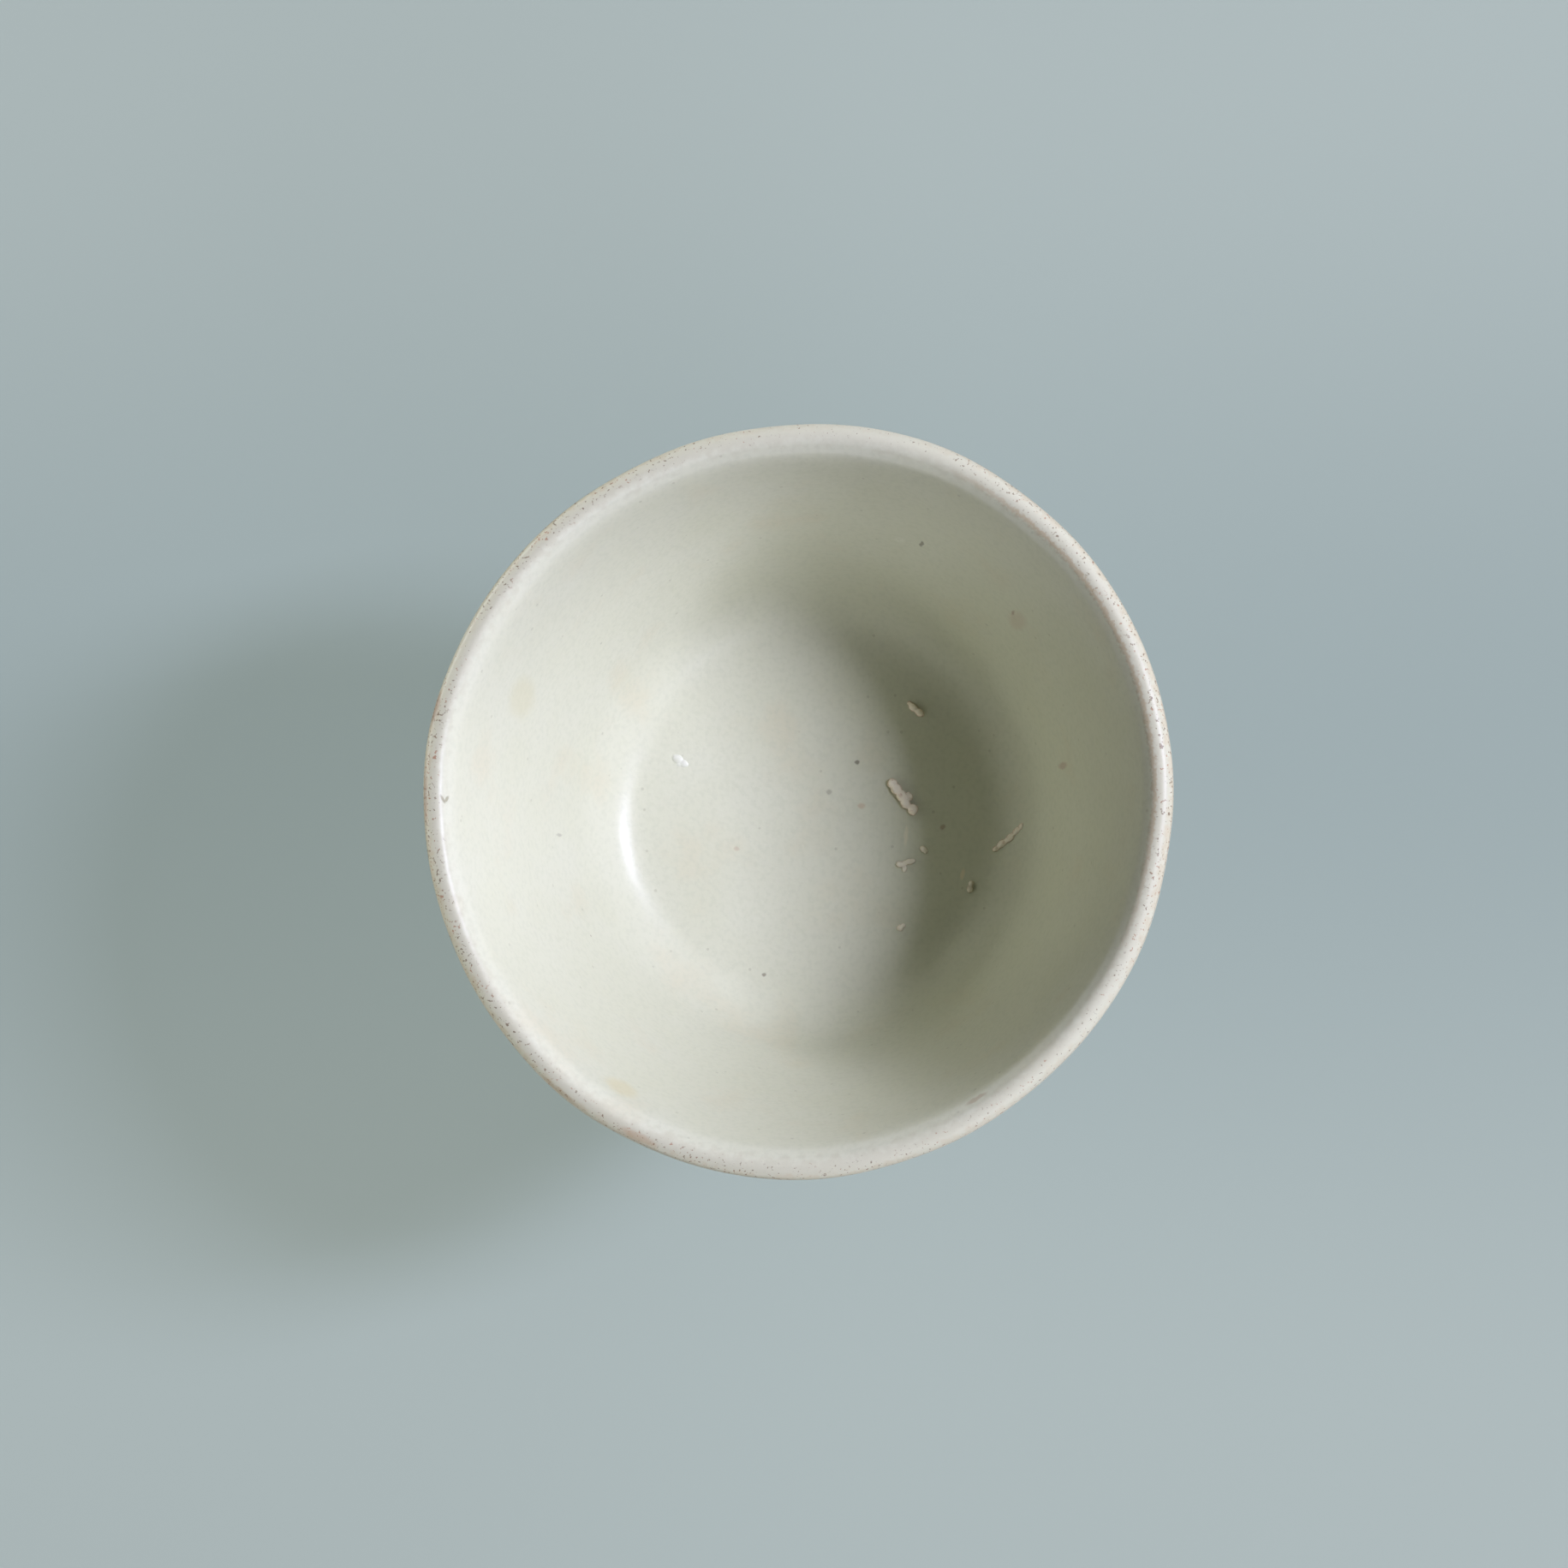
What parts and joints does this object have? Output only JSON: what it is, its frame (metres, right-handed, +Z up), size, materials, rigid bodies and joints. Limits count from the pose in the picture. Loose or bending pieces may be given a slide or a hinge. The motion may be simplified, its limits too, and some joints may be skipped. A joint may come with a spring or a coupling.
{
  "type": "porcelain stem cup",
  "caption": "Small glazed porcelain cup for drinking: a deep bowl with an everted lip on a hollow stem that spreads to a bare foot ring.",
  "frame": {"origin": "centre of the underside of the foot ring, on the surface that the cup stands on", "axes": "+Z up along the stem and out of the mouth; +X points to the right of the picture and +Y to its top, with the picture looking down into the mouth"},
  "size_m": [0.0778, 0.0784, 0.07],
  "materials": {
    "porcelain": "bare fired porcelain, matt, where the foot was wiped",
    "slip": "fired slip, matt and slightly rough",
    "glaze": "glossy greyish white glaze with a faint green cast, pinholes and specks",
    "grit": "pinkish beige kiln sand, rough"
  },
  "bodies": {
    "root": {"bowl": "porcelain", "stem": "porcelain", "slip_joint": "slip", "inside_glaze": "glaze", "outside_glaze": "glaze", "kiln_grit_1": "grit", "kiln_grit_2": "grit", "kiln_grit_3": "grit", "kiln_grit_4": "grit", "kiln_grit_5": "grit", "kiln_grit_6": "grit", "kiln_grit_7": "grit", "glaze_bead": "glaze"}
  },
  "joints": []
}
